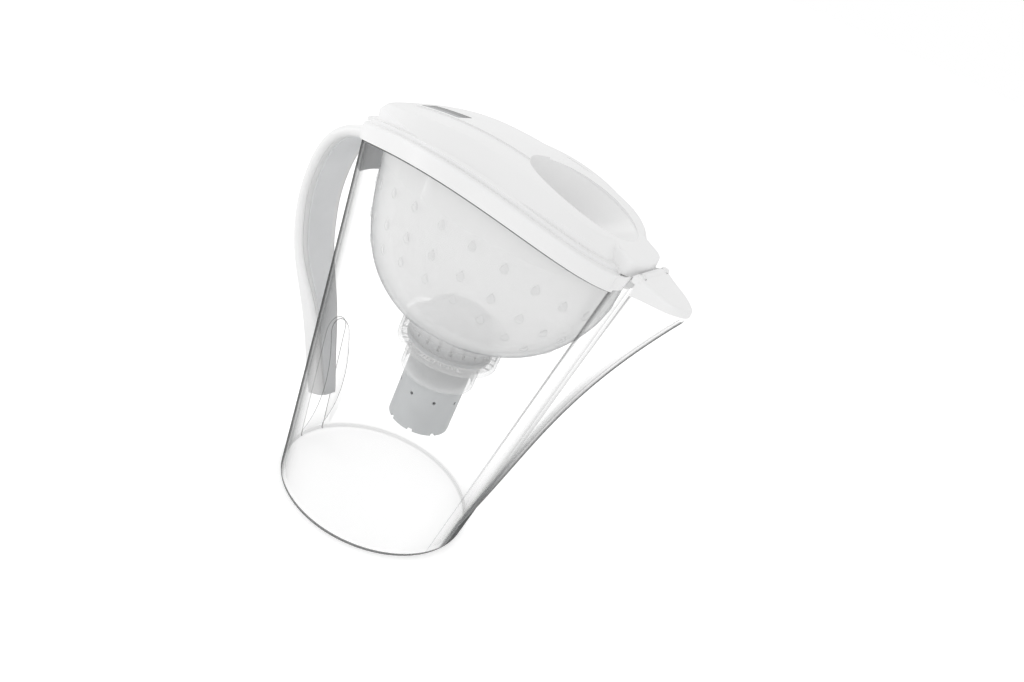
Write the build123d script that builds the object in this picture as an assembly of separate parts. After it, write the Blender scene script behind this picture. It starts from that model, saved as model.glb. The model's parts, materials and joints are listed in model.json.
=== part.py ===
from build123d import *
import os
from math import asin, atan2, cos, degrees, hypot, sin, sqrt, tan

os.makedirs("parts", exist_ok=True)

# An alkaline filter pitcher: a clear jug with a prow-shaped spout and a rear handle, a white collar
# on its rim, a translucent reservoir hung in its mouth, a filter cartridge in the reservoir's well,
# and a white lid with a fill bowl and a filter-life display. Millimetres. The origin is the centre
# of the base, +Z is up, +X points to the spout and the handle is on -X.

# Jug body: a round base that grows into a long oval mouth
BASE_HALF_LENGTH = 68.0
BASE_HALF_WIDTH = 66.5
MOUTH_HALF_LENGTH = 98.6
MOUTH_HALF_WIDTH = 66.0
MOUTH_HEIGHT = 227.0
MOUTH_SHIFT = 4.5
JUG_WALL = 2.4
JUG_FLOOR = 3.2
BASE_ROUND = 1.5
LOFT_TOP = 276.0

# The rim is arched in side view: one big arc, highest a little ahead of the middle
ARCH_RADIUS = 245.0
ARCH_TOP_X = 9.0
ARCH_TOP_Z = 246.3

# Spout: a prow whose ridge runs straight up from the base, then sweeps out to the tip
SPOUT_HALF_WIDTH = 19.0
SPOUT_SINK = 0.8
RIDGE_BASE_X = 66.9
RIDGE_SLOPE = 0.235
KNEE_Z = 112.0
TIP_X = 138.4
TIP_Z = 229.7
SPOUT_BACK_X = 96.0
SPOUT_BACK_Z = 231.2
RIDGE_ROUND = 4.5

# Rear pocket in the jug wall, where the lower end of the handle sits
POCKET_TOP_Z = 94.0
POCKET_BOTTOM_Z = 4.0
POCKET_DEEP_Z = 38.0
POCKET_TOP_HALF = 9.2
POCKET_LOW_HALF = 10.7

# Collar: a band clipped over the rim, with a ledge inside for the reservoir
COLLAR_PROUD = 1.5
COLLAR_BAND = 10.5
COLLAR_SKIN = 1.25
COLLAR_INNER = 3.9
RIM_IN_COLLAR = 7.0
COLLAR_ROUND = 1.0
FIT_GAP = 0.25
LEDGE_WIDTH = 1.2
LEDGE_TOP = 6.0
LEDGE_THICK = 2.0

# Running clearance between pieces that lift apart
LIFT_GAP = 0.4
SEAT_GAP = 0.3

# Front of the collar: cut clear of the open spout, with a cheek and a hinge arm each side
GATE_GAP = 0.6
GATE_HALF = 19.6
CHEEK_OUT = 22.1
CHEEK_THICK = 2.2
CHEEK_X = 107.2
ARM_OUT = 15.0
ARM_THICK = 2.0

# Spout cover and its hinge
HINGE_X = 110.3
HINGE_Z = 242.4
KNUCKLE_R = 2.2
PIN_R = 1.1
PIN_RUN = 0.08
PIN_HALF = 17.2
COVER_REAR_R = 2.7
COVER_SKIN = 1.7
COVER_ROUND = 2.0
COVER_TIP_X = 139.6
COVER_LOW_Z = 232.1

# Reservoir
RESERVOIR_WALL = 1.8
RESERVOIR_FRONT_INSET = 6.0
RESERVOIR_REAR_INSET = 16.0
RESERVOIR_SIDE_INSET = 6.6
VESSEL_JOIN_Z = 228.0
WELL_X = 10.6
WELL_R = 34.0
WELL_WALL = 1.8
WELL_FLOOR_Z = 128.0
WELL_FLOOR_THICK = 2.2
SLEEVE_R = 25.0
SLEEVE_BOTTOM_Z = 108.5
FLANGE_THICK = 1.8

# Cartridge
CARTRIDGE_R = 20.8
CARTRIDGE_WALL = 1.6
CARTRIDGE_BOTTOM_Z = 71.5
CAN_TOP_Z = 128.0
GRILLE_Z = 76.0
PORT_Z = 97.0
SCREEN_THICK = 0.8
LOW_SCREEN_Z = 79.4
BED_SPLIT_Z = 102.0
TOP_SCREEN_Z = 126.0
HEAD_R = 28.8
HEAD_TOP_Z = 158.0
SEAL_THICK = 1.6

# Lid
CROWN_RADIUS = 310.0
CROWN_TOP_X = 6.0
CROWN_TOP_Z = 265.4
LID_FOOT_INSET = 3.0
LID_FOOT_TALL = 2.2
LID_WALL_INSET = 6.0
LID_SKIN = 2.2
LID_RIM_DEEP = 5.0
LID_RIM_THICK = 1.6
LID_TAB_THICK = 3.2
SHOULDER_LOW_Z = 225.0
SHOULDER_HIGH_Z = 268.0
SHOULDER_LOW_LENGTH = 95.0
SHOULDER_LOW_WIDTH = 156.5
SHOULDER_HIGH_LENGTH = 84.0
SHOULDER_HIGH_WIDTH = 26.0
NOSE_X = 107.2
NOSE_HALF = 18.6
NOSE_LOW_Z = 240.2
NOSE_CORNER = 6.0
NOSE_ROUND = 2.5
FOLD_ROUND = 4.0
SPINE_HALF = 9.5
SPINE_RAISE = 0.9

# Fill bowl in the lid, and the flap in its floor
BOWL_X = 53.5
BOWL_Z = 259.8
BOWL_TILT = 9.7
BOWL_HALF_LENGTH = 39.0
BOWL_HALF_WIDTH = 27.0
BOWL_FLOOR_SHIFT = -7.0
BOWL_FLOOR_LENGTH = 24.0
BOWL_FLOOR_WIDTH = 18.5
BOWL_DEPTH = 19.0
BOWL_SKIN = 1.8
FLAP_GAP = 0.5
FLAP_HALF_LENGTH = 18.0
FLAP_HALF_WIDTH = 13.0
FLAP_THICK = 1.8
FLAP_SEAT = -2.0
FLAP_PIN_R = 1.1

# Filter-life display
WINDOW_X = -52.9
WINDOW_LENGTH = 28.5
WINDOW_WIDTH = 15.2
WINDOW_THICK = 1.4
CASE_LENGTH = 36.0
CASE_WIDTH = 22.0
CASE_DEPTH = 10.0
CASE_WALL = 1.4
BOARD_Z = -7.6
DOOR_X = -6.0
DOOR_R = 9.2
KEY_X = 11.0
KEY_R = 3.0

# Handle, as stations from the collar down to the pocket: outer point, inner point, half width
HANDLE_STATIONS = (
    ((-92.0, 231.5), (-92.0, 221.8), 19.0),
    ((-111.6, 222.4), (-108.5, 216.2), 19.0),
    ((-123.6, 208.4), (-117.5, 205.0), 19.0),
    ((-129.2, 190.4), (-122.0, 189.0), 19.0),
    ((-130.6, 168.6), (-123.2, 169.0), 18.8),
    ((-127.6, 145.0), (-119.5, 148.0), 18.2),
    ((-117.0, 116.4), (-108.3, 120.5), 16.5),
    ((-103.4, 89.8), (-92.0, 96.5), 13.2),
    ((-90.6, 60.6), (-77.0, 67.0), 10.2),
    ((-84.2, 46.3), (-70.3, 52.5), 9.2),
    ((-77.6, 32.0), (-63.6, 38.0), 8.2),
)
HANDLE_ROOT_Z = 195.0
HANDLE_SKIN = 2.4
TRIM_THICK = 2.0
TRIM_GAP = 0.4
GRIP_SHARE = 0.63
GRIP_PROUD = 0.8
GRIP_THICK = 1.6
MATE = 0.1


def save(shape, name):
    """Write one node."""
    export_step(shape, f"parts/{name}.step")


def half_length(z):
    return BASE_HALF_LENGTH + (MOUTH_HALF_LENGTH - BASE_HALF_LENGTH) * z / MOUTH_HEIGHT


def half_width(z):
    return BASE_HALF_WIDTH + (MOUTH_HALF_WIDTH - BASE_HALF_WIDTH) * z / MOUTH_HEIGHT


def centre_x(z):
    return MOUTH_SHIFT * z / MOUTH_HEIGHT


def oval(z, inset):
    """The jug's outer oval at height z, drawn in by inset."""
    plane = Plane.XY.offset(z) * Pos(centre_x(z), 0)
    return plane * Ellipse(half_length(z) - inset, half_width(z) - inset)


def cone(inset, low=0.0, high=LOFT_TOP):
    """The solid inside the jug's outer surface, drawn in by inset."""
    return loft([oval(low, inset), oval(high, inset)])


def ring(outer_inset, inner_inset, low=180.0, high=LOFT_TOP):
    return cone(outer_inset, low, high) - cone(inner_inset, low - 1, high + 1)


def under_arch(rise):
    """Everything below the rim arc raised by rise."""
    drum = Cylinder(ARCH_RADIUS, 300)
    return Pos(ARCH_TOP_X, 0, ARCH_TOP_Z - ARCH_RADIUS + rise) * Rot(90, 0, 0) * drum


def side_profile(points, half):
    """A straight-sided outline in the XZ plane, extruded both ways across the object."""
    face = make_face(Polyline([(x, 0, z) for x, z in points], close=True))
    return extrude(face, amount=half, dir=(0, 1, 0), both=True)


# Ridge of the spout in side view
KNEE_X = RIDGE_BASE_X + RIDGE_SLOPE * KNEE_Z
RIDGE_START = atan2(RIDGE_SLOPE, 1)
CHORD_TURN = atan2(TIP_X - KNEE_X, TIP_Z - KNEE_Z) - RIDGE_START
RIDGE_RADIUS = hypot(TIP_X - KNEE_X, TIP_Z - KNEE_Z) / (2 * sin(CHORD_TURN))


def ridge_x(z):
    if z <= KNEE_Z:
        return RIDGE_BASE_X + RIDGE_SLOPE * z
    lean = asin(sin(RIDGE_START) + (z - KNEE_Z) / RIDGE_RADIUS)
    return KNEE_X + RIDGE_RADIUS * (cos(RIDGE_START) - cos(lean))


def prow_section(z, inset):
    """The spout's V at height z: two flanks tangent to a rounded ridge."""
    side = sqrt(1 - (SPOUT_HALF_WIDTH / half_width(z)) ** 2)
    root = centre_x(z) + half_length(z) * side - SPOUT_SINK
    middle = ridge_x(z) - RIDGE_ROUND
    reach = hypot(middle - root, SPOUT_HALF_WIDTH)
    lean = atan2(SPOUT_HALF_WIDTH, middle - root) - asin(RIDGE_ROUND / reach)
    r = RIDGE_ROUND - inset
    touch_x = middle + r * sin(lean)
    touch_y = r * cos(lean)
    end_y = SPOUT_HALF_WIDTH + 2 - inset * cos(lean)
    end_x = touch_x - (end_y - touch_y) / tan(lean)
    back_x = centre_x(z) + half_length(z) / 3
    low = Polyline((back_x, -end_y), (end_x, -end_y), (touch_x, -touch_y))
    nose = ThreePointArc((touch_x, -touch_y), (middle + r, 0), (touch_x, touch_y))
    high = Polyline((touch_x, touch_y), (end_x, end_y), (back_x, end_y), (back_x, -end_y))
    return Plane.XY.offset(z) * make_face(low.edges() + [nose.edge()] + high.edges())


def prow(inset, low):
    heights = [low, 56.0, KNEE_Z, 150.0, 190.0, TIP_Z, LOFT_TOP]
    return loft([prow_section(z, inset) for z in heights])


def pocket(grow):
    """The scoop in the rear wall, drawn out by grow on the jug's side."""
    deep = HANDLE_STATIONS[-1][1][0] + GRIP_PROUD + SEAT_GAP + grow
    top = (-79.0 + grow, POCKET_TOP_Z + 3 + grow)
    low = (-69.0 + grow, POCKET_BOTTOM_Z - 3 - grow)
    curve = ThreePointArc((top[0], 0, top[1]), (deep, 0, POCKET_DEEP_Z), (low[0], 0, low[1]))
    back = Polyline((low[0], 0, low[1]), (-120, 0, low[1]), (-120, 0, top[1]), (top[0], 0, top[1]))
    scoop = extrude(make_face([curve.edge()] + back.edges()), amount=30, dir=(0, 1, 0), both=True)
    half_top = POCKET_TOP_HALF + grow
    half_low = POCKET_LOW_HALF + grow
    shoulder = POCKET_TOP_Z - half_top
    foot = -10.0
    sides = Polyline((0, -half_top, shoulder), (0, -half_low, foot), (0, half_low, foot), (0, half_top, shoulder))
    crown = ThreePointArc((0, half_top, shoulder), (0, 0, POCKET_TOP_Z + grow), (0, -half_top, shoulder))
    window = extrude(make_face(sides.edges() + [crown.edge()]), amount=-150, dir=(1, 0, 0))
    return scoop & window


def rim_keep():
    """What stays of the jug below its rim: the arch inside the collar, then the open spout."""
    spout = side_profile(
        ((SPOUT_BACK_X, -5), (160, -5), (160, TIP_Z - 0.8), (SPOUT_BACK_X, SPOUT_BACK_Z)), 60
    )
    body = under_arch(RIM_IN_COLLAR) & side_profile(
        ((-130, -5), (SPOUT_BACK_X, -5), (SPOUT_BACK_X, 270), (-130, 270)), 90
    )
    return body + spout


def make_jug():
    outer = cone(0) + prow(0, 0.0)
    outer = fillet(outer.edges().filter_by_position(Axis.Z, -0.1, 0.1), BASE_ROUND)
    inner = cone(JUG_WALL, JUG_FLOOR) + prow(JUG_WALL, JUG_FLOOR)
    shell = (outer - pocket(0)) - (inner - pocket(JUG_WALL))
    return shell & rim_keep()


def make_collar():
    band = under_arch(COLLAR_BAND) - under_arch(0)
    skirt = ring(-COLLAR_PROUD, COLLAR_INNER) & band
    skirt = fillet(skirt.edges().group_by(SortBy.LENGTH)[-1], COLLAR_ROUND)
    groove = ring(COLLAR_SKIN - COLLAR_PROUD, JUG_WALL + FIT_GAP) & under_arch(RIM_IN_COLLAR + SEAT_GAP)
    ledge_band = under_arch(LEDGE_TOP) - under_arch(LEDGE_TOP - LEDGE_THICK)
    ledge = ring(COLLAR_INNER - 0.2, COLLAR_INNER + LEDGE_WIDTH) & ledge_band
    gate = Pos(120, 0, SPOUT_BACK_Z + GATE_GAP - 40) * Box(60, 2 * GATE_HALF, 80)
    body = skirt - groove + ledge - gate
    for side in (-1, 1):
        body = body + make_cheek(side) + make_arm(side)
    return body


def make_cheek(side):
    """The end of the band that runs forward beside the spout cover."""
    outline = ((99.3, 229.6), (105.2, 233.2), (CHEEK_X, 242.6), (104.0, 240.6), (99.3, 239.4))
    plate = side_profile(outline, CHEEK_THICK / 2)
    return Pos(0, side * (CHEEK_OUT - CHEEK_THICK / 2), 0) * plate


def hinge_bar(radius, length, y=0.0):
    return Pos(HINGE_X, y, HINGE_Z) * Rot(90, 0, 0) * Cylinder(radius, length)


def make_arm(side):
    """A hinge arm: from the front of the band forward to its knuckle."""
    outline = (
        (98.6, 232.2),
        (106.0, 233.2),
        (HINGE_X - 0.3, 237.6),
        (HINGE_X + KNUCKLE_R - 0.2, HINGE_Z - 0.6),
        (HINGE_X - KNUCKLE_R + 0.1, HINGE_Z - 0.2),
        (107.0, 239.3),
        (98.6, 238.6),
    )
    y = side * (ARM_OUT - ARM_THICK / 2)
    plate = Pos(0, y, 0) * side_profile(outline, ARM_THICK / 2)
    bore = hinge_bar(PIN_R + PIN_RUN, ARM_THICK + 2, y)
    return plate + hinge_bar(KNUCKLE_R, ARM_THICK, y) - bore


def cover_plan(inset):
    """The spout cover seen from above: wide at its hinge, tapering to a blunt round tip."""
    side = ((108.1, 20.8), (113.0, 17.7), (122.0, 14.8), (131.0, 11.3), (136.0, 7.4))
    near = [(x, inset - y) for x, y in side]
    far = [(x, y - inset) for x, y in reversed(side)]
    tip = ThreePointArc(near[-1], (COVER_TIP_X - inset, 0), far[0])
    rear = Line(far[-1], near[0])
    return make_face([Spline(*near).edge(), tip.edge(), Spline(*far).edge(), rear.edge()])


def cover_block(inset, low, drop):
    top = ((104.0, 246.3 - drop), (113.0, 243.2 - drop), (122.0, 240.7 - drop), (142.0, 236.3 - drop))
    lid = side_profile(top + ((142.0, low + 0.9), (104.0, low)), 30)
    return extrude(Plane.XY.offset(200) * cover_plan(inset), amount=60) & lid


def make_cover():
    outer = cover_block(0, COVER_LOW_Z, 0)
    crease = [edge for edge in outer.edges() if edge.center().Z > 235.5 and edge.bounding_box().size.X > 3]
    outer = fillet(crease, COVER_ROUND)
    inner = cover_block(COVER_SKIN, 200.0, COVER_SKIN)
    barrel = hinge_bar(KNUCKLE_R, 2 * 18.6)
    body = outer - inner + barrel
    for side in (-1, 1):
        y = side * (ARM_OUT - ARM_THICK / 2)
        slot = Pos(HINGE_X - 1.2, y, HINGE_Z - 1.0) * Box(8.2, ARM_THICK + 2 * SEAT_GAP, 7.6)
        body = body - slot
    rear = side_profile(((100, 220), (HINGE_X, 220), (HINGE_X, 260), (100, 260)), 30)
    rear = rear - hinge_bar(COVER_REAR_R, 60)
    return body - rear - hinge_bar(PIN_R, 2 * PIN_HALF)


def vessel_oval(z, inset):
    """The reservoir's oval at height z: further from the jug's wall at the rear than in front."""
    length = half_length(z) - (RESERVOIR_FRONT_INSET + RESERVOIR_REAR_INSET) / 2
    shift = (RESERVOIR_REAR_INSET - RESERVOIR_FRONT_INSET) / 2
    plane = Plane.XY.offset(z) * Pos(centre_x(z) + shift, 0)
    return plane * Ellipse(length - inset, half_width(z) - RESERVOIR_SIDE_INSET - inset)


def vessel_cone(inset, low):
    return loft([vessel_oval(low, inset), vessel_oval(LOFT_TOP, inset)])


def vessel(inset, drop):
    """The reservoir's bowl, full at the top and drawn in to the well."""
    stations = (
        (215.0, 86.3, 9.7, 57.6),
        (198.0, 83.5, 9.5, 56.0),
        (184.0, 78.6, 8.2, 53.6),
        (165.0, 67.3, 5.8, 47.2),
        (151.0, 51.3, 3.8, 38.0),
        (141.0, 32.0, 4.0, 26.0),
    )
    sections = [vessel_oval(VESSEL_JOIN_Z, inset)]
    for z, a, x, b in stations:
        sections.append(Plane.XY.offset(z + drop) * Pos(x, 0) * Ellipse(a - inset, b - inset))
    return loft(sections) + vessel_cone(inset, VESSEL_JOIN_Z)


def drum(radius, low, high, x=WELL_X):
    return Pos(x, 0, (low + high) / 2) * Cylinder(radius, high - low)


def make_reservoir():
    outer = vessel(0, 0) + drum(WELL_R, WELL_FLOOR_Z, 152) + drum(SLEEVE_R, SLEEVE_BOTTOM_Z, 132)
    floor_z = WELL_FLOOR_Z + WELL_FLOOR_THICK
    inner = vessel(RESERVOIR_WALL, RESERVOIR_WALL) + drum(WELL_R - WELL_WALL, floor_z, 158)
    inner = inner + drum(SLEEVE_R - WELL_WALL, SLEEVE_BOTTOM_Z - 2, floor_z + 2)
    flange_low = LEDGE_TOP + SEAT_GAP
    flange_high = flange_low + FLANGE_THICK
    wall = (outer - inner) & under_arch(flange_high)
    lip = cone(COLLAR_INNER + LIFT_GAP, 180.0) - vessel_cone(RESERVOIR_WALL / 2, 170.0)
    return wall + (lip & (under_arch(flange_high) - under_arch(flange_low)))


def make_cartridge_body():
    """The filter's can: open at the top, notched round its lower edge."""
    can = drum(CARTRIDGE_R, CARTRIDGE_BOTTOM_Z, CAN_TOP_Z)
    bore = drum(CARTRIDGE_R - CARTRIDGE_WALL, CARTRIDGE_BOTTOM_Z - 1, CAN_TOP_Z + 1)
    shelf = drum(CARTRIDGE_R - 1, GRILLE_Z, GRILLE_Z + 1.6) - drum(CARTRIDGE_R - 4.5, GRILLE_Z - 1, 90)
    body = can - bore + shelf
    for n in range(8):
        notch = Rot(0, 0, 22.5 + 45 * n) * Pos(CARTRIDGE_R, 0, CARTRIDGE_BOTTOM_Z) * Box(6, 3.2, 3.6)
        body = body - Pos(WELL_X, 0, 0) * notch
    for n in range(8):
        port = Rot(0, 0, 45 * n) * Pos(CARTRIDGE_R, 0, PORT_Z) * Rot(0, 90, 0) * Cylinder(1.1, 6)
        body = body - Pos(WELL_X, 0, 0) * port
    return body


def make_cartridge_base():
    """The grille across the lower end of the can."""
    r = CARTRIDGE_R - CARTRIDGE_WALL - 0.05
    plate = drum(r, GRILLE_Z + 1.6, GRILLE_Z + 3.4)
    for n in range(-3, 4):
        half = sqrt((r - 4) ** 2 - (4.6 * n) ** 2)
        plate = plate - Pos(WELL_X + 4.6 * n, 0, GRILLE_Z + 2.5) * Box(2.2, 2 * half, 4)
    return plate


def make_screen(low):
    return drum(CARTRIDGE_R - CARTRIDGE_WALL - 0.05, low, low + SCREEN_THICK)


def make_bed(low, high):
    return drum(CARTRIDGE_R - CARTRIDGE_WALL - 0.1, low, high)


def make_cartridge_head():
    """The slotted dome that stands in the well, with the flange that presses the seal."""
    seal_z = WELL_FLOOR_Z + WELL_FLOOR_THICK + SEAL_THICK
    profile = (
        (HEAD_R, seal_z),
        (HEAD_R, seal_z + 2.4),
        (HEAD_R - 1.8, seal_z + 2.4),
        (HEAD_R - 3.4, seal_z + 15.0),
        (HEAD_R - 9.0, HEAD_TOP_Z - 2.0),
        (HEAD_R - 14.0, HEAD_TOP_Z),
        (0, HEAD_TOP_Z),
        (0, HEAD_TOP_Z - 1.8),
        (HEAD_R - 14.6, HEAD_TOP_Z - 1.8),
        (HEAD_R - 10.4, HEAD_TOP_Z - 3.6),
        (HEAD_R - 5.2, seal_z + 14.2),
        (HEAD_R - 4.0, seal_z + 2.4),
        (CARTRIDGE_R + 0.05, seal_z + 2.4),
        (CARTRIDGE_R + 0.05, seal_z - 6.0),
        (CARTRIDGE_R + 1.8, seal_z - 6.0),
        (CARTRIDGE_R + 1.8, seal_z),
    )
    face = make_face(Polyline([(x, 0, z) for x, z in profile], close=True))
    head = revolve(face, Axis.Z)
    slot = Pos(HEAD_R - 3, 0, seal_z + 11.0) * Box(14, 1.8, 13)
    for n in range(20):
        head = head - Rot(0, 0, 18 * n) * slot
    return Pos(WELL_X, 0, 0) * head


def make_seal():
    low = WELL_FLOOR_Z + WELL_FLOOR_THICK
    hole = drum(CARTRIDGE_R + 2.2, low - 1, low + SEAL_THICK + 1)
    return drum(HEAD_R - 0.6, low, low + SEAL_THICK) - hole


def under_crown(rise):
    """Everything below the lid's long crown arc raised by rise."""
    barrel = Cylinder(CROWN_RADIUS + rise, 300)
    return Pos(CROWN_TOP_X, 0, CROWN_TOP_Z - CROWN_RADIUS) * Rot(90, 0, 0) * barrel


def shoulders(inset, drop):
    """The lid's sloping sides, as a cone of ovals."""
    low = Plane.XY.offset(SHOULDER_LOW_Z) * Pos(MOUTH_SHIFT, 0)
    high = Plane.XY.offset(SHOULDER_HIGH_Z) * Pos(MOUTH_SHIFT, 0)
    wide = low * Ellipse(SHOULDER_LOW_LENGTH - inset, SHOULDER_LOW_WIDTH - drop)
    narrow = high * Ellipse(SHOULDER_HIGH_LENGTH - inset, SHOULDER_HIGH_WIDTH - drop)
    return loft([wide, narrow])


def nose_block(inset):
    """The rounded front of the lid that reaches over the spout cover's hinge."""
    half = NOSE_HALF - inset
    corner = NOSE_X - 3.4 - inset
    front = ThreePointArc((corner, -half), (NOSE_X - inset, 0), (corner, half))
    back = Polyline((corner, half), (80, half), (80, -half), (corner, -half))
    plan = Plane.XY.offset(NOSE_LOW_Z - 5) * make_face([front.edge()] + back.edges())
    return extrude(plan, amount=40)


def lid_form(inset, drop, rise):
    body = cone(LID_WALL_INSET + inset, 180) & shoulders(inset, drop)
    return (body + nose_block(inset)) & under_crown(rise)


def lid_outside():
    """The outside of the lid: its fold and the edges of its nose are softened."""
    body = cone(LID_WALL_INSET, 180) & shoulders(0, 0) & under_crown(0)
    fold = [edge for edge in body.edges() if edge.bounding_box().min.Z > 250 and edge.length > 100]
    body = fillet(fold, FOLD_ROUND)
    nose = nose_block(0)
    nose = fillet(nose.edges().filter_by(Axis.Z).group_by(Axis.X)[-1], NOSE_CORNER) & under_crown(0)
    brow = [edge for edge in nose.edges() if edge.center().Z > 247 and edge.bounding_box().max.X > 92]
    return body + fillet(brow, NOSE_ROUND)


BOWL = Pos(BOWL_X, 0, BOWL_Z) * Rot(0, BOWL_TILT, 0)


def bowl_form(grow, deep):
    """The fill bowl in its own tilted frame: a wide oval mouth over a smaller floor set back."""
    mouth = Plane.XY * Ellipse(BOWL_HALF_LENGTH + grow, BOWL_HALF_WIDTH + grow)
    floor = Plane.XY.offset(-deep) * Pos(BOWL_FLOOR_SHIFT, 0)
    floor = floor * Ellipse(BOWL_FLOOR_LENGTH + grow, BOWL_FLOOR_WIDTH + grow)
    return loft([floor, mouth]) + extrude(mouth, amount=14)


def spine_panel():
    """The flat raised panel between the display and the bowl."""
    plan = Polyline((-71, -9.3), (20, -11), (20, 11), (-71, 9.3), close=True)
    prism = extrude(Plane.XY.offset(230) * make_face(plan), amount=60)
    prism = fillet(prism.edges().filter_by(Axis.Z).group_by(Axis.X)[0], 4)
    return prism & under_crown(SPINE_RAISE) - under_crown(-0.5)


def window_plan(length, width, corner):
    plan = Plane.XY.offset(230) * Pos(WINDOW_X, 0) * RectangleRounded(length, width, corner)
    return extrude(plan, amount=60)


def lid_rim():
    """The wall under the skin that drops just inside the reservoir and centres the lid."""
    near = RESERVOIR_WALL + LIFT_GAP
    wall = vessel_cone(near, 190.0) - vessel_cone(near + LID_RIM_THICK, 180.0)
    return (wall & lid_form(0.5, 1.0, -0.5)) - under_arch(COLLAR_BAND - LID_RIM_DEEP)


def lid_tab():
    """The thumb tab over the rear of the collar."""
    tab = Pos(-94.5, 0, 235) * Box(12, 27, 30)
    tab = fillet(tab.edges().filter_by(Axis.Z).group_by(Axis.X)[0], 5)
    low = COLLAR_BAND + SEAT_GAP
    return tab & (under_arch(low + LID_TAB_THICK) - under_arch(low))


def make_lid():
    above = under_crown(20) - under_arch(COLLAR_BAND)
    outer = lid_outside()
    inner = lid_form(LID_SKIN, 3 * LID_SKIN, -LID_SKIN)
    nose_floor = Pos(100, 0, NOSE_LOW_Z + LID_SKIN - 20) * Box(30, 90, 40)
    front = Pos(150, 0, NOSE_LOW_Z - 50) * Box(100, 90, 100)
    skin = (outer & above) - (inner - (nose_floor & nose_block(-1) - cone(LID_WALL_INSET, 180)))
    skin = skin - (front - cone(LID_WALL_INSET, 180))
    foot_band = under_arch(COLLAR_BAND + LID_FOOT_TALL) - under_arch(COLLAR_BAND)
    foot = ring(LID_FOOT_INSET, LID_WALL_INSET + LID_SKIN) & foot_band
    lid = skin + foot + lid_rim() + lid_tab() + spine_panel()
    plug = BOWL * bowl_form(BOWL_SKIN, BOWL_DEPTH + BOWL_SKIN) & under_crown(-0.3)
    void = bowl_form(0, BOWL_DEPTH) + flap_oval(FLAP_SEAT, BOWL_DEPTH - 2, BOWL_DEPTH + 6)
    lid = lid + plug - BOWL * void
    lid = lid - window_plan(WINDOW_LENGTH, WINDOW_WIDTH, 1.6) + window_ledge()
    return lid + BOWL * flap_lugs()


def window_ledge():
    """The frame under the display window that the lens sits on."""
    frame = window_plan(WINDOW_LENGTH + 3, WINDOW_WIDTH + 3, 2.4) - window_plan(
        WINDOW_LENGTH - 4, WINDOW_WIDTH - 4, 1.0
    )
    return frame & under_crown(SPINE_RAISE - WINDOW_THICK - 0.15) - under_crown(-LID_SKIN)


def flap_oval(grow, low, high):
    plan = Plane.XY.offset(-high) * Pos(BOWL_FLOOR_SHIFT, 0)
    plan = plan * Ellipse(FLAP_HALF_LENGTH + grow, FLAP_HALF_WIDTH + grow)
    return extrude(plan, amount=high - low)


FLAP_LOW = BOWL_DEPTH + BOWL_SKIN + SEAT_GAP
FLAP_PIN_X = BOWL_FLOOR_SHIFT - FLAP_HALF_LENGTH - 2.6
FLAP_PIN_Z = -(FLAP_LOW + 2.2)


def flap_bar(radius, length, y=0.0):
    return Pos(FLAP_PIN_X, y, FLAP_PIN_Z) * Rot(90, 0, 0) * Cylinder(radius, length)


def flap_lugs():
    """Two lugs under the bowl floor that hold the flap's pin."""
    lugs = flap_bar(2.2, 3.0, 7.0) + flap_bar(2.2, 3.0, -7.0)
    for y in (-7.0, 7.0):
        web = Pos(FLAP_PIN_X, y, FLAP_PIN_Z + 2.0) * Box(4.4, 3.0, 4.0)
        lugs = lugs + web
    lugs = lugs - flap_bar(FLAP_PIN_R, 20)
    return lugs - bowl_form(BOWL_SKIN - 0.3, BOWL_DEPTH + BOWL_SKIN - 0.3)


def make_flap():
    disc = flap_oval(0, FLAP_LOW, FLAP_LOW + FLAP_THICK)
    neck = Pos(FLAP_PIN_X + 2.6, 0, FLAP_PIN_Z) * Box(5.2, 9.4, 3.0)
    body = disc + flap_bar(2.2, 9.4) + neck
    rib = Pos(BOWL_FLOOR_SHIFT, 0, -(FLAP_LOW + FLAP_THICK + 0.9)) * Box(26, 1.6, 1.8)
    return BOWL * (body + rib - flap_bar(FLAP_PIN_R + 0.08, 20))


def make_flap_pin():
    return BOWL * flap_bar(FLAP_PIN_R, 17.0)


WINDOW_Z = CROWN_TOP_Z - CROWN_RADIUS + sqrt(CROWN_RADIUS**2 - (WINDOW_X - CROWN_TOP_X) ** 2)
WINDOW = Pos(WINDOW_X, 0, WINDOW_Z) * Rot(0, -degrees(asin((CROWN_TOP_X - WINDOW_X) / CROWN_RADIUS)), 0)
CASE_TOP = -LID_SKIN - 0.3


def make_lens():
    lens = window_plan(WINDOW_LENGTH - 0.3, WINDOW_WIDTH - 0.3, 1.5)
    return lens & under_crown(SPINE_RAISE - 0.1) - under_crown(SPINE_RAISE - 0.1 - WINDOW_THICK)


def make_case():
    """The display module's case: open at the top, with a round battery door and a key below."""
    block = Pos(0, 0, CASE_TOP - CASE_DEPTH / 2) * Box(CASE_LENGTH, CASE_WIDTH, CASE_DEPTH)
    block = fillet(block.edges().filter_by(Axis.Z), 2.4)
    room = Pos(0, 0, CASE_TOP - CASE_DEPTH / 2 + CASE_WALL) * Box(
        CASE_LENGTH - 2 * CASE_WALL, CASE_WIDTH - 2 * CASE_WALL, CASE_DEPTH
    )
    top = Box(CASE_LENGTH, CASE_WIDTH, 2.6) - Box(CASE_LENGTH - 2 * CASE_WALL, CASE_WIDTH - 2 * CASE_WALL, 4)
    top = Pos(0, 0, CASE_TOP + 1.2) * top
    case = block - room
    case = case - Pos(DOOR_X, 0, CASE_TOP - CASE_DEPTH) * Cylinder(DOOR_R + 0.2, 6)
    case = case - Pos(KEY_X, 0, CASE_TOP - CASE_DEPTH) * Cylinder(KEY_R + 0.3, 6)
    return WINDOW * (case + top) & under_crown(-LID_SKIN)


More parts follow.
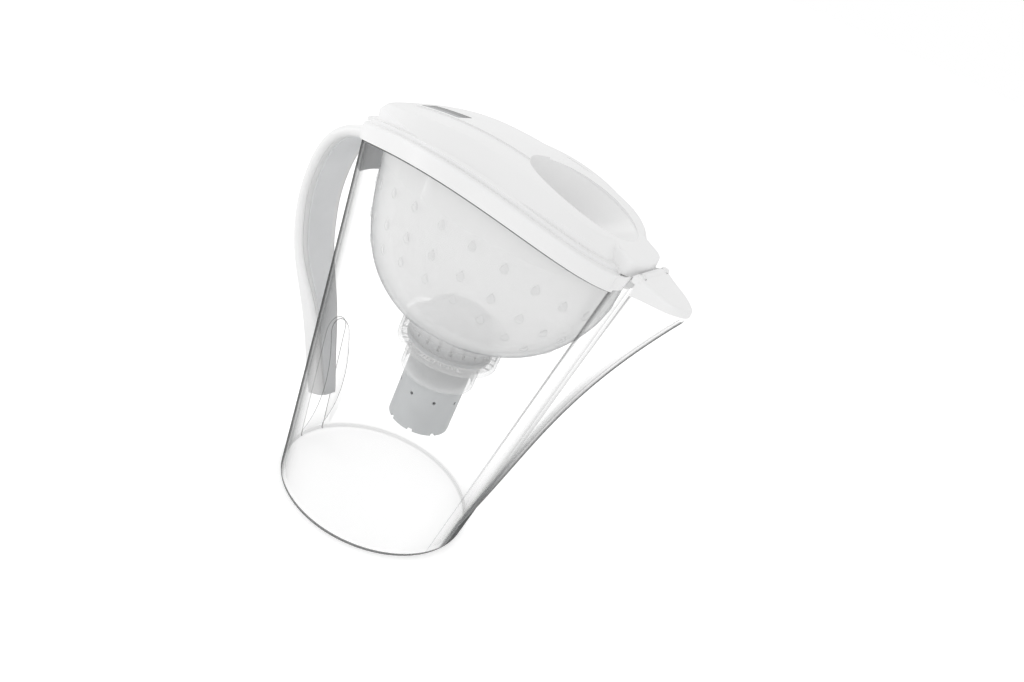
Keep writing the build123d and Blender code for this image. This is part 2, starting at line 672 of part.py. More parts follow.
def make_door():
    disc = Pos(DOOR_X, 0, CASE_TOP - CASE_DEPTH + CASE_WALL / 2) * Cylinder(DOOR_R, CASE_WALL)
    slot = Pos(DOOR_X, 0, CASE_TOP - CASE_DEPTH) * Box(9, 1.6, 1.2)
    return WINDOW * (disc - slot)


def make_cell():
    return WINDOW * Pos(DOOR_X, 0, CASE_TOP - CASE_DEPTH + CASE_WALL + 1.3) * Cylinder(8.0, 2.4)


def make_key():
    """The reset key: a cap through the case floor with a collar that keeps it in."""
    low = CASE_TOP - CASE_DEPTH
    cap = Pos(KEY_X, 0, low + 0.6) * Cylinder(KEY_R, 3.2)
    brim = Pos(KEY_X, 0, low + CASE_WALL + 0.45) * Cylinder(KEY_R + 0.9, 0.7)
    return WINDOW * (cap + brim)


def make_board():
    plate = Pos(0, 0, BOARD_Z) * Box(CASE_LENGTH - 2 * CASE_WALL - 0.4, CASE_WIDTH - 2 * CASE_WALL - 0.4, 1.2)
    return WINDOW * plate


def make_display():
    glass = Pos(0, 0, BOARD_Z + 0.6 + 1.3) * Box(WINDOW_LENGTH - 2, WINDOW_WIDTH + 1, 2.6)
    return WINDOW * glass


def station_frame(station):
    outer, inner, half = station
    lean = atan2(outer[1] - inner[1], outer[0] - inner[0])
    thick = hypot(outer[0] - inner[0], outer[1] - inner[1])
    plane = Plane(
        origin=(inner[0], 0, inner[1]),
        x_dir=(cos(lean), 0, sin(lean)),
        z_dir=(-sin(lean), 0, cos(lean)),
    )
    return plane, thick, half


def handle_bar(low, high, side, corner):
    """A bar along the handle. low and high map a station's thickness to the bar's two faces."""
    sections = []
    for station in HANDLE_STATIONS:
        plane, thick, half = station_frame(station)
        a = low(thick)
        b = high(thick)
        w = side(half)
        r = min(corner, (b - a) / 2 - 0.05)
        sections.append(plane * Pos((a + b) / 2, 0) * RectangleRounded(b - a, 2 * w, r))
    return loft(sections)


def make_handle_shell():
    full = handle_bar(lambda t: 0, lambda t: t, lambda w: w, 4.0)
    room = handle_bar(lambda t: -3, lambda t: t - HANDLE_SKIN, lambda w: w - HANDLE_SKIN, 2.0)
    return full - room - cone(-COLLAR_PROUD - MATE, HANDLE_ROOT_Z)


def make_handle_trim():
    slab = handle_bar(lambda t: 0, lambda t: TRIM_THICK, lambda w: w - HANDLE_SKIN - TRIM_GAP, 0.6)
    sunk = GRIP_THICK - GRIP_PROUD + MATE
    bed = handle_bar(lambda t: -2, lambda t: sunk, lambda w: w * GRIP_SHARE + MATE, 0.3)
    return slab - bed - cone(-COLLAR_PROUD - MATE, HANDLE_ROOT_Z)


def make_grip():
    strip = handle_bar(lambda t: -GRIP_PROUD, lambda t: GRIP_THICK - GRIP_PROUD, lambda w: w * GRIP_SHARE, 0.7)
    return strip - cone(-COLLAR_PROUD - 2.2, HANDLE_ROOT_Z)


def make_root_plate():
    """The grey pad between the handle's root and the jug's rear wall."""
    pad = ring(-2.0, -0.1, 190) & under_arch(-0.3)
    outline = ((-20, 221.2), (-20, 207), (-15, 202), (15, 202), (20, 207), (20, 221.2))
    face = make_face(Polyline([(0, y, z) for y, z in outline], close=True))
    return pad & extrude(face, amount=-120, dir=(1, 0, 0))


def make_cover_pin():
    return hinge_bar(PIN_R, 2 * PIN_HALF)


NODES = {
    "jug_body": make_jug,
    "rim_collar": make_collar,
    "spout_cover": make_cover,
    "spout_cover_pin": make_cover_pin,
    "reservoir": make_reservoir,
    "cartridge_body": make_cartridge_body,
    "cartridge_base": make_cartridge_base,
    "lower_screen": lambda: make_screen(LOW_SCREEN_Z),
    "carbon_bed": lambda: make_bed(LOW_SCREEN_Z + SCREEN_THICK, BED_SPLIT_Z),
    "mineral_bed": lambda: make_bed(BED_SPLIT_Z, TOP_SCREEN_Z),
    "upper_screen": lambda: make_screen(TOP_SCREEN_Z),
    "cartridge_head": make_cartridge_head,
    "cartridge_seal": make_seal,
    "lid_shell": make_lid,
    "fill_flap": make_flap,
    "fill_flap_pin": make_flap_pin,
    "indicator_lens": make_lens,
    "indicator_case": make_case,
    "indicator_display": make_display,
    "indicator_board": make_board,
    "button_cell": make_cell,
    "battery_door": make_door,
    "reset_key": make_key,
    "handle_shell": make_handle_shell,
    "handle_trim": make_handle_trim,
    "handle_grip": make_grip,
    "handle_root_plate": make_root_plate,
}

for name, make in NODES.items():
    save(make(), name)
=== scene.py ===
import json
import math

import bpy
from mathutils import Matrix, Vector


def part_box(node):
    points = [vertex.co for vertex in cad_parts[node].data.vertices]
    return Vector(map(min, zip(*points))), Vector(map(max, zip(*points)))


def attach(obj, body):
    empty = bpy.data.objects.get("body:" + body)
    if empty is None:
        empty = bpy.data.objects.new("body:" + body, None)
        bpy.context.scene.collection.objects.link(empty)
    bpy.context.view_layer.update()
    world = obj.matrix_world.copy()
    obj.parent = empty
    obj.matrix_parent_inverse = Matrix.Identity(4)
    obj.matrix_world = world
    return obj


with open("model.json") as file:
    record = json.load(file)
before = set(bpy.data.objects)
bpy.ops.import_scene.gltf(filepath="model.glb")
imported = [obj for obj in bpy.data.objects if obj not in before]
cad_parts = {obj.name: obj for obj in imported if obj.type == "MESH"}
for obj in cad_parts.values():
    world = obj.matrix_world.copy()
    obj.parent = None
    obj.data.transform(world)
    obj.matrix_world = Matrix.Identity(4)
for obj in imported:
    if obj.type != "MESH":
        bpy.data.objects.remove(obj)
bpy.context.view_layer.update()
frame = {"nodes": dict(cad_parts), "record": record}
nodes = frame["nodes"]

# Lengths are in metres, and a name that ends in MM is in millimetres.

# Seen from the side, the rim and the rows of drops are arches about this centre.
ARCH_CENTRE_X = 0.009
ARCH_CENTRE_Z = 0.0013

# The painted shade line on the clear wall under the collar's lower edge, and how far toward the spout it
# goes.
COLLAR_EDGE_REACH = 0.244
COLLAR_SHADE_DEPTH = 0.0003
COLLAR_SHADE_END_X = 0.099
COLLAR_SHADE_END_FADE = 0.0002

# The painted shade along the thick edge of the jug's foot.
FOOT_EDGE_TOP = 0.0026
FOOT_EDGE_FADE = 0.0008
FOOT_EDGE_SOLIDITY = 0.85
FOOT_EDGE_LOSS_FAR = 0.8

# The spout's tight ridge, drawn with painted shade, and where it begins and is full.
RIDGE_HALF_WIDTH = 0.005
RIDGE_FADE = 0.004
RIDGE_BEGINS_X = 0.062
RIDGE_FULL_X = 0.078
RIDGE_TURN = 0.3

# The scoop in the jug's rear wall: straight sides that draw in upward, closed by a half circle. Its outline
# is painted shade.
SCOOP_FOOT_Z = -0.01
SCOOP_FOOT_HALF_WIDTH = 0.0107
SCOOP_ARCH_Z = 0.0848
SCOOP_ARCH_HALF_WIDTH = 0.0092
SCOOP_LINE = 0.0003
SCOOP_LINE_FADE = 0.0006
SCOOP_SOLIDITY = 0.7
SCOOP_REAR_X = -0.058
SCOOP_FRONT_X = -0.054

# The fold where each flank of the spout leaves the round wall, drawn as a line of painted shade.
FOLD_HALF_WIDTH = 0.019
FOLD_LINE = 0.0003
FOLD_LINE_FADE = 0.0011
FOLD_LOW_Z = 0.04
FOLD_HIGH_Z = 0.22
FOLD_LOW_SOLIDITY = 0.25
FOLD_HIGH_SOLIDITY = 0.8
FOLD_BEGINS_X = 0.045
FOLD_FULL_X = 0.05

# Faces that look sideways and faces that lie level, by their normal's share along Y and along Z.
SIDEWAYS_FROM = 0.97
SIDEWAYS_FULL = 0.985
LEVEL_FROM = 0.85
LEVEL_FULL = 0.99
LEVEL_SOLIDITY = 0.04

# How much of its solidity the clear wall loses on its inside faces and on its far side.
INNER_LOSS = 0.7
FAR_LOSS = 0.6

# How solid the clear wall's painted grey shade looks, as pairs of turn and share, from facing the eye to
# edge-on.
CLEAR_WALL_TURNS = ((0.3, 0.02), (0.446, 0.07), (0.57, 0.24), (0.676, 0.62), (0.735, 0.85), (0.86, 0.95))

# The reservoir's well, which is drawn more see-through than the bowl above it.
WELL_TOP_Z = 0.14
WELL_FADE = 0.012
WELL_SHARE = 0.45

# The window's painted highlight, a pale strip which ends this far from its middle.
HIGHLIGHT_STRIP_EDGE = 0.0022
HIGHLIGHT_STRIP_FADE = 0.0008

# The woven screens, and how many waves the wave pattern has in one unit of its scale.
THREADS_APART_MM = 3.77
WAVES_PER_UNIT = 20 / math.tau

# The drops on the reservoir, and their rows' reach from the arch's centre.
DROP_HALF_WIDTH = 0.0025
DROP_RISE = 0.0005
DROP_SUNK = 0.00005
DROP_POINT = 0.002
DROP_POINT_PULL = 0.0036
DROP_ROW_REACHES = (0.2205, 0.2007, 0.1852)
DROP_COLUMNS = 24
SAME_PLACE = 0.0001

# The rays that place the drops start on an oval ring round the reservoir and aim inward.
RESERVOIR_CENTRE_X = 0.0095
RESERVOIR_HALF_LENGTH = 0.084
RING_HALF_LENGTH = 0.12
RING_HALF_WIDTH = 0.085
RING_AIM = (0.0774, 0.0576)

# The floor and the room.
FLOOR_SIZE = 200.0
FLOOR_GAP = 0.0002
FLOOR_GLOW_TO_CAMERA = 0.34
FLOOR_GLOW_THROUGH_GLASS = 0.5
ROOM_FILL = 0.88
ROOM_WHITE = 1.0

# The photograph's camera: degrees round from the front, up and rolled, then its place and lens.
CAMERA_TURN = 24.59
CAMERA_RISE = 25.63
CAMERA_ROLL = 24.61
CAMERA_TARGET = (0.05009, 0, 0.15893)
CAMERA_DISTANCE = 0.54839
CAMERA_LENS_MM = 31.51
CAMERA_SENSOR_MM = 36.0


def srgb(hex_code):
    """A colour written as on a swatch, turned to the linear values the shader works in."""
    channels = [int(hex_code[i:i + 2], 16) / 255 for i in (0, 2, 4)]
    linear = [c / 12.92 if c <= 0.04045 else ((c + 0.055) / 1.055) ** 2.4 for c in channels]
    return (*linear, 1.0)


def add(tree, kind, settings=None, links=None, stops=None):
    """Adds one shader node: its settings, what feeds its sockets, and the stops of a colour ramp.

    A socket goes by its name, or by its number where several share a name. A node that is given
    as a feed stands for its first output.
    """
    node = tree.nodes.new(kind)
    for name, value in (settings or {}).items():
        if isinstance(name, int) or name in node.inputs:
            node.inputs[name].default_value = value
        else:
            setattr(node, name, value)
    for name, feed in (links or {}).items():
        source = feed.outputs[0] if isinstance(feed, bpy.types.Node) else feed
        tree.links.new(source, node.inputs[name])
    if stops:
        ends = node.color_ramp.elements
        for n, (position, colour) in ((0, stops[0]), (1, stops[-1])):
            ends[n].position = position
            ends[n].color = colour
        for position, colour in stops[1:-1]:
            ends.new(position).color = colour
    return node


def material(name):
    """A new material with an empty node tree."""
    made = bpy.data.materials.new(name)
    made.use_nodes = True
    made.node_tree.nodes.clear()
    return made, made.node_tree


def skin(tree, settings, links):
    """Ends a material with its surface shader, fed by the patterns made before."""
    shader = add(tree, "ShaderNodeBsdfPrincipled", settings, links)
    add(tree, "ShaderNodeOutputMaterial", links={"Surface": shader})


def per_metre(size_mm):
    """A pattern's scale, for grains or clouds about size_mm across."""
    return 1000 / size_mm


def mottled(tree, low, high, size_mm):
    """A soft drift between two near colours, one cloud about size_mm across."""
    place = add(tree, "ShaderNodeTexCoord").outputs["Object"]
    cloud = add(tree, "ShaderNodeTexNoise", {"Scale": per_metre(size_mm), "Detail": 3.0}, {"Vector": place})
    stops = ((0.3, srgb(low)), (0.7, srgb(high)))
    return add(tree, "ShaderNodeValToRGB", links={"Fac": cloud}, stops=stops)


def grained(tree, size_mm, detail, strength, depth):
    """A moulded skin's grain or waviness, as relief about size_mm across and depth metres deep."""
    place = add(tree, "ShaderNodeTexCoord").outputs["Object"]
    settings = {"Scale": per_metre(size_mm), "Detail": detail}
    grain = add(tree, "ShaderNodeTexNoise", settings, {"Vector": place})
    return add(tree, "ShaderNodeBump", {"Strength": strength, "Distance": depth}, {"Height": grain})


def let_light_through(tree, solid, share):
    """A see-through wall's solidity, which lets that share of the lamps' light through to what is behind."""
    rays = add(tree, "ShaderNodeLightPath")
    stopped = add(tree, "ShaderNodeMath", {"operation": "MULTIPLY_ADD", 1: -share, 2: 1.0},
                  {0: rays.outputs["Is Shadow Ray"]})
    return add(tree, "ShaderNodeMath", {"operation": "MULTIPLY"}, {0: stopped, 1: solid})


def faces_in(tree, place, surface):
    """1 on a vessel's inside faces, 0 on its outside ones, told by which way they look from its axis."""
    from_axis = add(tree, "ShaderNodeVectorMath", {"operation": "MULTIPLY", 1: (1.0, 1.0, 0.0)}, {0: place})
    outward = add(tree, "ShaderNodeVectorMath", {"operation": "DOT_PRODUCT"},
                  {0: from_axis, 1: surface["Normal"]})
    unturned = add(tree, "ShaderNodeMath", {"operation": "MULTIPLY_ADD", 1: -2.0, 2: 1.0},
                   {0: surface["Backfacing"]})
    signed = add(tree, "ShaderNodeMath", {"operation": "MULTIPLY"},
                 {0: outward.outputs["Value"], 1: unturned})
    return add(tree, "ShaderNodeMath", {"operation": "LESS_THAN", 1: 0.0}, {0: signed})


def collar_shade_line(tree, place, at):
    """1 in the thin line of painted shade where the clear wall runs up under the collar's arched edge."""
    to_origin = (-ARCH_CENTRE_X, 0.0, -ARCH_CENTRE_Z)
    from_centre = add(tree, "ShaderNodeVectorMath",
                      {"operation": "MULTIPLY_ADD", 1: (1.0, 0.0, 1.0), 2: to_origin}, {0: place})
    reach = add(tree, "ShaderNodeVectorMath", {"operation": "LENGTH"}, {0: from_centre})
    line = add(tree, "ShaderNodeMapRange",
               {"From Min": COLLAR_EDGE_REACH - COLLAR_SHADE_DEPTH, "From Max": COLLAR_EDGE_REACH},
               {"Value": reach.outputs["Value"]})
    end = add(tree, "ShaderNodeMapRange",
              {"From Min": COLLAR_SHADE_END_X, "From Max": COLLAR_SHADE_END_X + COLLAR_SHADE_END_FADE,
               "To Min": 1.0, "To Max": 0.0}, {"Value": at["X"]})
    return add(tree, "ShaderNodeMath", {"operation": "MULTIPLY"}, {0: line, 1: end})


def foot_line(tree, at, surface):
    """Near 1 along the thick edge of the jug's base, a line of painted shade, fainter where it is seen
    through the jug.
    """
    foot = add(tree, "ShaderNodeMapRange",
               {"From Min": FOOT_EDGE_TOP, "From Max": FOOT_EDGE_TOP + FOOT_EDGE_FADE,
                "To Min": FOOT_EDGE_SOLIDITY, "To Max": 0.0}, {"Value": at["Z"]})
    near = add(tree, "ShaderNodeMath", {"operation": "MULTIPLY_ADD", 1: -FOOT_EDGE_LOSS_FAR, 2: 1.0},
               {0: surface["Backfacing"]})
    return add(tree, "ShaderNodeMath", {"operation": "MULTIPLY"}, {0: foot, 1: near})


def spout_ridge(tree, at):
    """Adds to the turn of the wall along the spout's tight ridge, so that its edge takes a thick line of
    painted shade.
    """
    across = add(tree, "ShaderNodeMath", {"operation": "ABSOLUTE"}, {0: at["Y"]})
    ridge = add(tree, "ShaderNodeMapRange",
                {"From Min": RIDGE_HALF_WIDTH, "From Max": RIDGE_HALF_WIDTH + RIDGE_FADE,
                 "To Min": RIDGE_TURN, "To Max": 0.0}, {"Value": across})
    ahead = add(tree, "ShaderNodeMapRange", {"From Min": RIDGE_BEGINS_X, "From Max": RIDGE_FULL_X},
                {"Value": at["X"]})
    return add(tree, "ShaderNodeMath", {"operation": "MULTIPLY"}, {0: ridge, 1: ahead})


def scoop_line(tree, at):
    """The outline of the scoop in the rear wall, a line of painted shade where its sides stand edge-on."""
    above_arch = add(tree, "ShaderNodeMapRange", {"From Min": SCOOP_ARCH_Z, "From Max": SCOOP_ARCH_Z + 1.0},
                     {"Value": at["Z"]})
    spread = add(tree, "ShaderNodeCombineXYZ", links={"X": at["Y"], "Y": above_arch})
    reach = add(tree, "ShaderNodeVectorMath", {"operation": "LENGTH"}, {0: spread})
    half_width = add(tree, "ShaderNodeMapRange",
                     {"From Min": SCOOP_FOOT_Z, "From Max": SCOOP_ARCH_Z,
                      "To Min": SCOOP_FOOT_HALF_WIDTH, "To Max": SCOOP_ARCH_HALF_WIDTH}, {"Value": at["Z"]})
    beyond = add(tree, "ShaderNodeMath", {"operation": "SUBTRACT"},
                 {0: reach.outputs["Value"], 1: half_width})
    away = add(tree, "ShaderNodeMath", {"operation": "ABSOLUTE"}, {0: beyond})
    line = add(tree, "ShaderNodeMapRange",
               {"From Min": SCOOP_LINE, "From Max": SCOOP_LINE + SCOOP_LINE_FADE,
                "To Min": SCOOP_SOLIDITY, "To Max": 0.0}, {"Value": away})
    rear = add(tree, "ShaderNodeMapRange",
               {"From Min": SCOOP_REAR_X, "From Max": SCOOP_FRONT_X, "To Min": 1.0, "To Max": 0.0},
               {"Value": at["X"]})
    return add(tree, "ShaderNodeMath", {"operation": "MULTIPLY"}, {0: line, 1: rear})


def fold_line(tree, at):
    """A line of painted shade at the fold where each flank of the spout leaves the round wall, darker toward
    the rim.
    """
    across = add(tree, "ShaderNodeMath", {"operation": "ABSOLUTE"}, {0: at["Y"]})
    beyond = add(tree, "ShaderNodeMath", {"operation": "SUBTRACT", 1: FOLD_HALF_WIDTH}, {0: across})
    away = add(tree, "ShaderNodeMath", {"operation": "ABSOLUTE"}, {0: beyond})
    line = add(tree, "ShaderNodeMapRange",
               {"From Min": FOLD_LINE, "From Max": FOLD_LINE + FOLD_LINE_FADE, "To Min": 1.0, "To Max": 0.0},
               {"Value": away})
    higher = add(tree, "ShaderNodeMapRange",
                 {"From Min": FOLD_LOW_Z, "From Max": FOLD_HIGH_Z,
                  "To Min": FOLD_LOW_SOLIDITY, "To Max": FOLD_HIGH_SOLIDITY}, {"Value": at["Z"]})
    ahead = add(tree, "ShaderNodeMapRange", {"From Min": FOLD_BEGINS_X, "From Max": FOLD_FULL_X},
                {"Value": at["X"]})
    drawn = add(tree, "ShaderNodeMath", {"operation": "MULTIPLY"}, {0: line, 1: higher})
    return add(tree, "ShaderNodeMath", {"operation": "MULTIPLY"}, {0: drawn, 1: ahead})


def outer_lines(tree, place, at, surface):
    """The painted shade of the scoop's outline and the spout's folds, on outside faces that don't look
    sideways.
    """
    both = add(tree, "ShaderNodeMath", {"operation": "MAXIMUM"},
               {0: scoop_line(tree, at), 1: fold_line(tree, at)})
    outside = add(tree, "ShaderNodeMath", {"operation": "SUBTRACT", 0: 1.0},
                  {1: faces_in(tree, place, surface)})
    look = add(tree, "ShaderNodeSeparateXYZ", links={"Vector": surface["Normal"]})
    sideways = add(tree, "ShaderNodeMath", {"operation": "ABSOLUTE"}, {0: look.outputs["Y"]})
    lengthways = add(tree, "ShaderNodeMapRange",
                     {"From Min": SIDEWAYS_FROM, "From Max": SIDEWAYS_FULL, "To Min": 1.0, "To Max": 0.0},
                     {"Value": sideways})
    kept = add(tree, "ShaderNodeMath", {"operation": "MULTIPLY"}, {0: both, 1: outside})
    return add(tree, "ShaderNodeMath", {"operation": "MULTIPLY"}, {0: kept, 1: lengthways})


def level_faces(tree, surface):
    """Near 0 on faces that lie level, such as the base's floor, and 1 on all others."""
    look = add(tree, "ShaderNodeSeparateXYZ", links={"Vector": surface["Normal"]})
    upright = add(tree, "ShaderNodeMath", {"operation": "ABSOLUTE"}, {0: look.outputs["Z"]})
    return add(tree, "ShaderNodeMapRange",
               {"From Min": LEVEL_FROM, "From Max": LEVEL_FULL, "To Min": 1.0, "To Max": LEVEL_SOLIDITY},
               {"Value": upright})


def clear_san():
    """Clear SAN, injection moulded and polished: water-bright, with grey lines where it turns away.

    It is drawn as a thin wall that bends nothing, nearly open where it faces the eye and solid grey
    where it stands edge-on; this grey is painted shade for the dark a clear wall shows as it turns.
    Its inside faces and its far side are fainter.
    """
    made, tree = material("clear_san_moulding")
    place = add(tree, "ShaderNodeTexCoord").outputs["Object"]
    at = add(tree, "ShaderNodeSeparateXYZ", links={"Vector": place}).outputs
    surface = add(tree, "ShaderNodeNewGeometry").outputs
    turn = add(tree, "ShaderNodeLayerWeight", {"Blend": 0.35}).outputs["Facing"]
    bend = add(tree, "ShaderNodeMath", {"operation": "ADD"}, {0: turn, 1: spout_ridge(tree, at)})
    # Painted shade: the clear wall turns solid grey as it turns edge-on.
    edge_on = add(tree, "ShaderNodeValToRGB", links={"Fac": bend},
                  stops=[(position, (share, share, share, 1.0)) for position, share in CLEAR_WALL_TURNS])
    inner = add(tree, "ShaderNodeMath", {"operation": "MULTIPLY_ADD", 1: -INNER_LOSS, 2: 1.0},
                {0: faces_in(tree, place, surface)})
    far = add(tree, "ShaderNodeMath", {"operation": "MULTIPLY_ADD", 1: -FAR_LOSS, 2: 1.0},
              {0: surface["Backfacing"]})
    faint = add(tree, "ShaderNodeMath", {"operation": "MULTIPLY"}, {0: inner, 1: far})
    wall = add(tree, "ShaderNodeMath", {"operation": "MULTIPLY"}, {0: edge_on, 1: faint})
    footed = add(tree, "ShaderNodeMath", {"operation": "MAXIMUM"},
                 {0: wall, 1: foot_line(tree, at, surface)})
    lined = add(tree, "ShaderNodeMath", {"operation": "MAXIMUM"},
                {0: footed, 1: outer_lines(tree, place, at, surface)})
    open_floor = add(tree, "ShaderNodeMath", {"operation": "MULTIPLY"},
                     {0: lined, 1: level_faces(tree, surface)})
    solid = add(tree, "ShaderNodeMath", {"operation": "MAXIMUM"},
                {0: open_floor, 1: collar_shade_line(tree, place, at)})
    sheen = add(tree, "ShaderNodeMapRange", {"From Min": 0.4, "From Max": 0.7, "To Min": 0.5, "To Max": 0.0},
                {"Value": turn})
    # The grey of the painted shade, drifting a little across the wall.
    flow = add(tree, "ShaderNodeTexNoise", {"Scale": per_metre(60.0), "Detail": 1.0}, {"Vector": place})
    painted_shade_grey = add(tree, "ShaderNodeValToRGB", links={"Fac": flow},
               stops=((0.0, srgb("4A4B4B")), (1.0, srgb("585959"))))
    skin(tree, {"Roughness": 0.05, "IOR": 1.4},
         {"Base Color": painted_shade_grey, "Specular IOR Level": sheen,
          "Alpha": let_light_through(tree, solid, share=0.97)})
    return made


def milky_polypropylene(name, thin, thick):
    """Natural polypropylene, moulded glossy: milky, with a painted glow for the light that it passes on, and
    painted shade greying it where it turns away.

    thin and thick say how solid it is where it faces the eye and where it turns away. The inside of
    its far wall is drawn solid, so that few see-through layers lie one behind the other.
    """
    made, tree = material(name)
    place = add(tree, "ShaderNodeTexCoord").outputs["Object"]
    at = add(tree, "ShaderNodeSeparateXYZ", links={"Vector": place}).outputs
    surface = add(tree, "ShaderNodeNewGeometry").outputs
    turn = add(tree, "ShaderNodeLayerWeight", {"Blend": 0.4}).outputs["Facing"]
    # Painted shade: the milky white greys toward the rims where the wall turns away.
    milk_and_edge_shade = add(tree, "ShaderNodeValToRGB", links={"Fac": turn},
               stops=((0.42, srgb("F3F3F3")), (0.66, srgb("CACBCB")), (0.84, srgb("6E7072"))))
    facing = add(tree, "ShaderNodeMapRange",
                 {"From Min": 0.4, "From Max": 0.8, "To Min": thin, "To Max": thick}, {"Value": turn})
    well = add(tree, "ShaderNodeMapRange",
               {"From Min": WELL_TOP_Z, "From Max": WELL_TOP_Z + WELL_FADE,
                "To Min": WELL_SHARE, "To Max": 1.0}, {"Value": at["Z"]})
    near_wall = add(tree, "ShaderNodeMath", {"operation": "MULTIPLY"}, {0: facing, 1: well})
    far_wall = add(tree, "ShaderNodeMath", {"operation": "GREATER_THAN"},
                   {0: faces_in(tree, place, surface), 1: surface["Backfacing"]})
    solid = add(tree, "ShaderNodeMath", {"operation": "MAXIMUM"}, {0: near_wall, 1: far_wall})
    sheen = add(tree, "ShaderNodeMapRange",
                {"From Min": 0.5, "From Max": 0.75, "To Min": 0.5, "To Max": 0.05}, {"Value": turn})
    # The emission is a painted glow, standing in for light passed through the wall.
    skin(tree,
         {"Roughness": 0.045, "IOR": 1.45, "Emission Color": srgb("FFFFFF"), "Emission Strength": 0.13},
         {"Base Color": milk_and_edge_shade,
          "Normal": grained(tree, size_mm=45.0, detail=1.0, strength=0.06, depth=0.0003),
          "Specular IOR Level": sheen, "Alpha": let_light_through(tree, solid, share=0.9)})
    return made


def glossy_abs():
    """White ABS moulded in a polished tool: bright, with a clean even gloss."""
    made, tree = material("glossy_white_abs_moulding")
    skin(tree, {"Roughness": 0.3, "IOR": 1.5, "Coat Weight": 0.15, "Coat Roughness": 0.12},
         {"Base Color": mottled(tree, "EDEDED", "F2F2F2", size_mm=90.0),
          "Normal": grained(tree, size_mm=1.2, detail=2.0, strength=0.03, depth=0.0001)})
    return made


def satin_abs():
    """White ABS from a spark-eroded tool: the same white with a dull satin skin."""
    made, tree = material("satin_white_abs_moulding")
    skin(tree, {"Roughness": 0.48, "IOR": 1.5},
         {"Base Color": mottled(tree, "E2E2E2", "E9E9E9", size_mm=60.0),
          "Normal": grained(tree, size_mm=0.8, detail=3.0, strength=0.12, depth=0.0001)})
    return made


def grey_elastomer():
    """Soft thermoplastic elastomer, overmoulded: a quiet pale grey with a matte grain 1 mm across."""
    made, tree = material("grey_elastomer_overmould")
    place = add(tree, "ShaderNodeTexCoord").outputs["Object"]
    cells = add(tree, "ShaderNodeTexVoronoi", {"Scale": per_metre(1.0)}, {"Vector": place})
    grain = add(tree, "ShaderNodeBump", {"Strength": 0.2, "Distance": 0.0002}, {"Height": cells})
    skin(tree, {"Roughness": 0.55, "IOR": 1.5},
         {"Base Color": mottled(tree, "DEDFE0", "E4E5E6", size_mm=25.0), "Normal": grain})
    return made


def grey_polypropylene(name, low, high):
    """Filled polypropylene, moulded dull: the can and head of the filter."""
    made, tree = material(name)
    skin(tree, {"Roughness": 0.42, "IOR": 1.49},
         {"Base Color": mottled(tree, low, high, size_mm=18.0),
          "Normal": grained(tree, size_mm=0.9, detail=3.0, strength=0.15, depth=0.0002)})
    return made


def woven_nylon():
    """Woven nylon mesh. Its threads are drawn 3.8 mm apart, coarser than the real 0.6 mm, to show at all."""
    made, tree = material("woven_nylon_mesh")
    place = add(tree, "ShaderNodeTexCoord").outputs["Object"]
    scale = per_metre(THREADS_APART_MM * WAVES_PER_UNIT)
    warp = add(tree, "ShaderNodeTexWave", {"Scale": scale, "bands_direction": "X"}, {"Vector": place})
    weft = add(tree, "ShaderNodeTexWave", {"Scale": scale, "bands_direction": "Y"}, {"Vector": place})
    cross = add(tree, "ShaderNodeMath", {"operation": "MAXIMUM"},
                {0: warp.outputs["Fac"], 1: weft.outputs["Fac"]})
    ramp = add(tree, "ShaderNodeValToRGB", links={"Fac": cross},
               stops=((0.0, srgb("8E9092")), (1.0, srgb("ECECEC"))))
    weave = add(tree, "ShaderNodeBump", {"Strength": 0.6, "Distance": 0.0003}, {"Height": cross})
    skin(tree, {"Roughness": 0.6}, {"Base Color": ramp, "Normal": weave})
    return made


def packed_grains(name, low, high, size_mm, rough):
    """Loose filter grains packed in the can, each about size_mm across, pale in the middle."""
    made, tree = material(name)
    place = add(tree, "ShaderNodeTexCoord").outputs["Object"]
    cells = add(tree, "ShaderNodeTexVoronoi", {"Scale": per_metre(size_mm)}, {"Vector": place})
    ramp = add(tree, "ShaderNodeValToRGB", links={"Fac": cells},
               stops=((0.0, srgb(high)), (1.0, srgb(low))))
    grains = add(tree, "ShaderNodeBump", {"Strength": 0.8, "Distance": -0.0006}, {"Height": cells})
    skin(tree, {"Roughness": rough}, {"Base Color": ramp, "Normal": grains})
    return made


def silicone_rubber():
    """Pale silicone rubber, moulded: a soft sheen, and light spreads a little under its skin."""
    made, tree = material("pale_silicone_rubber")
    skin(tree, {"Roughness": 0.4, "IOR": 1.41, "Subsurface Weight": 0.1, "Subsurface Scale": 0.002},
         {"Base Color": mottled(tree, "D0D1D1", "DADBDB", size_mm=12.0)})
    return made


def drawn_steel():
    """Stainless steel wire, drawn: bright with fine lines along its length, which runs along Y."""
    made, tree = material("drawn_stainless_steel")
    place = add(tree, "ShaderNodeTexCoord").outputs["Object"]
    drawn_out = add(tree, "ShaderNodeMapping", {"Scale": (1.0, 0.04, 1.0)}, {"Vector": place})
    lines = add(tree, "ShaderNodeTexNoise", {"Scale": per_metre(0.25)}, {"Vector": drawn_out})
    ramp = add(tree, "ShaderNodeValToRGB", links={"Fac": lines},
               stops=((0.0, srgb("B4B6B8")), (1.0, srgb("D8DADC"))))
    skin(tree, {"Metallic": 1.0, "Roughness": 0.28}, {"Base Color": ramp})
    return made


